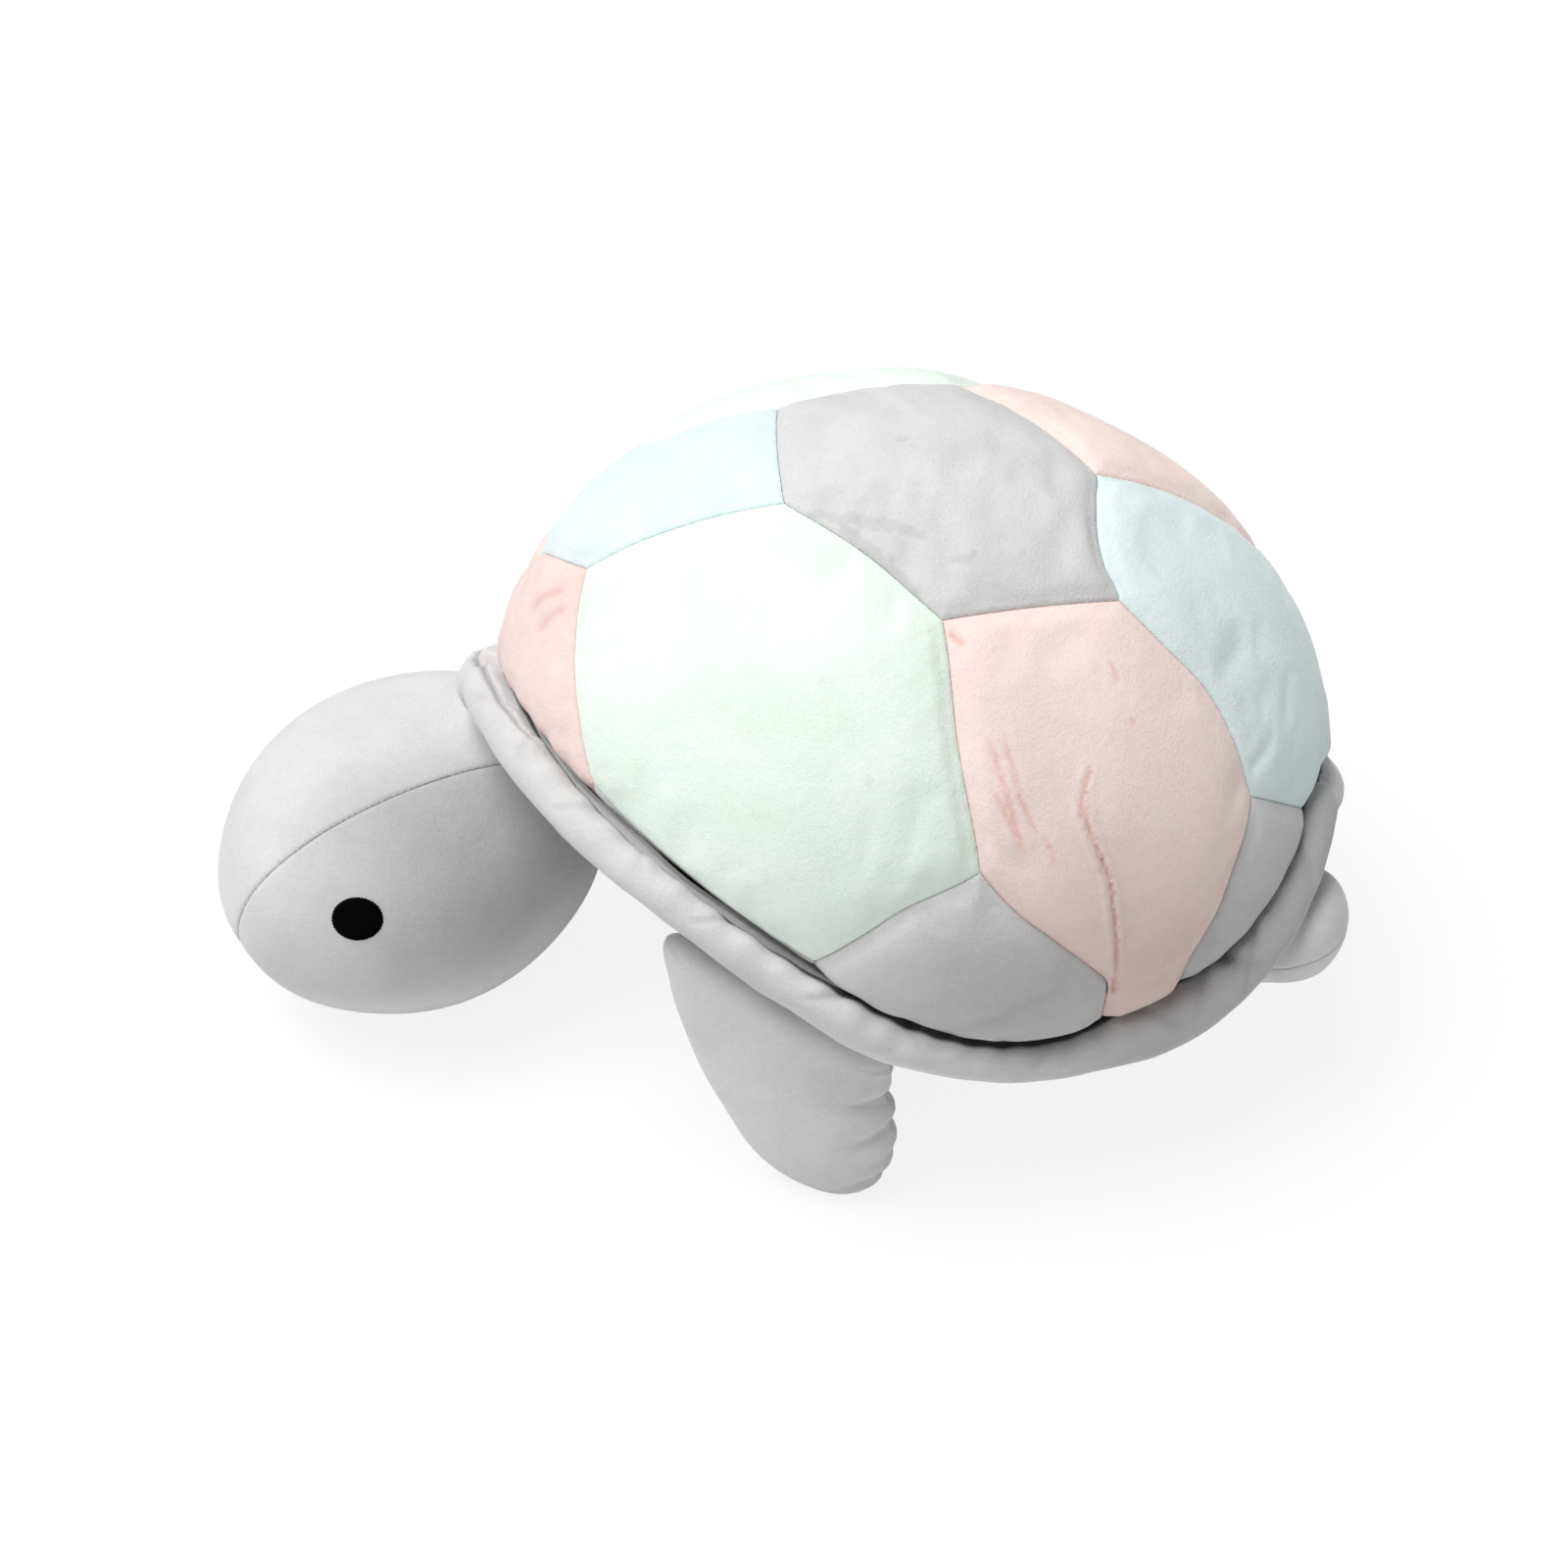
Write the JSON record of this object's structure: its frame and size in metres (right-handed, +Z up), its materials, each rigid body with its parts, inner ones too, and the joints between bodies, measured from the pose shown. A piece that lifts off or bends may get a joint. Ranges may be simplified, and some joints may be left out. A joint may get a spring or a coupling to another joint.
{
  "type": "plush turtle",
  "caption": "Stuffed turtle toy with a domed patchwork shell, a rolled rim, a round head turned to its left, and soft flippers.",
  "frame": {"origin": "middle of the bounding box in plan, on the floor that the toy rests on", "axes": "-Y towards the front of the shell, +X towards the toy's left, +Z up"},
  "size_m": [0.2652, 0.4112, 0.2407],
  "materials": {
    "grey_velour": "short-pile velour",
    "blue_velour": "short-pile velour",
    "mint_velour": "short-pile velour",
    "pink_velour": "short-pile velour",
    "fibre_fill": "loose polyester fibre",
    "black_thread": "satin stitch"
  },
  "bodies": {
    "body": {"top_panel": "grey_velour", "front_blue_panel": "blue_velour", "rear_blue_panel": "blue_velour", "left_mint_panel": "mint_velour", "right_mint_panel": "mint_velour", "left_pink_panel": "pink_velour", "right_pink_panel": "pink_velour", "front_left_pink_panel": "pink_velour", "front_right_pink_panel": "pink_velour", "left_edge_strip": "grey_velour", "right_edge_strip": "grey_velour", "left_side_panel": "grey_velour", "right_side_panel": "grey_velour", "left_rear_panel": "grey_velour", "right_rear_panel": "grey_velour", "rim_roll": "grey_velour", "belly_panel": "grey_velour", "body_fill": "fibre_fill"},
    "neck": {"neck": "grey_velour"},
    "head": {"head_top_gusset": "grey_velour", "head_left_side": "grey_velour", "head_right_side": "grey_velour", "head_fill": "fibre_fill", "eye_left": "black_thread", "eye_right": "black_thread"},
    "front_left_flipper": {"front_left_flipper_outer": "grey_velour", "front_left_flipper_inner": "grey_velour", "front_left_flipper_fill": "fibre_fill"},
    "front_right_flipper": {"front_right_flipper_outer": "grey_velour", "front_right_flipper_inner": "grey_velour", "front_right_flipper_fill": "fibre_fill"},
    "rear_left_flipper": {"rear_left_flipper_bottom": "grey_velour", "rear_left_flipper_top": "grey_velour", "rear_left_flipper_fill": "fibre_fill"},
    "rear_right_flipper": {"rear_right_flipper_bottom": "grey_velour", "rear_right_flipper_top": "grey_velour", "rear_right_flipper_fill": "fibre_fill"}
  },
  "joints": [
    {"name": "head_turn", "type": "hinge", "parent": "body", "child": "neck", "pos_m": [0.01877, -0.09752, 0.07831], "axis": [0, 0, 1], "range_deg": [-12, 12], "stiffness_Nm_per_rad": 0.6},
    {"name": "head_nod", "type": "hinge", "parent": "neck", "child": "head", "pos_m": [0.01877, -0.09752, 0.07831], "axis": [-0.8829, -0.4695, 0], "range_deg": [-8, 8], "stiffness_Nm_per_rad": 1.5},
    {"name": "front_left_flap", "type": "hinge", "parent": "body", "child": "front_left_flipper", "pos_m": [0.11039, 0.01582, 0.085], "axis": [-0.1471, -0.8788, 0.454], "range_deg": [0, 55]},
    {"name": "front_right_flap", "type": "hinge", "parent": "body", "child": "front_right_flipper", "pos_m": [-0.11061, 0.01582, 0.085], "axis": [-0.1471, 0.8788, -0.454], "range_deg": [0, 55]},
    {"name": "rear_left_flap", "type": "hinge", "parent": "body", "child": "rear_left_flipper", "pos_m": [0.03489, 0.15982, 0.071], "axis": [0.9976, -0.0698, 0], "range_deg": [-30, 0], "stiffness_Nm_per_rad": 0.3},
    {"name": "rear_right_flap", "type": "hinge", "parent": "body", "child": "rear_right_flipper", "pos_m": [-0.03511, 0.15982, 0.071], "axis": [0.9976, 0.0698, 0], "range_deg": [-30, 0], "stiffness_Nm_per_rad": 0.3}
  ]
}
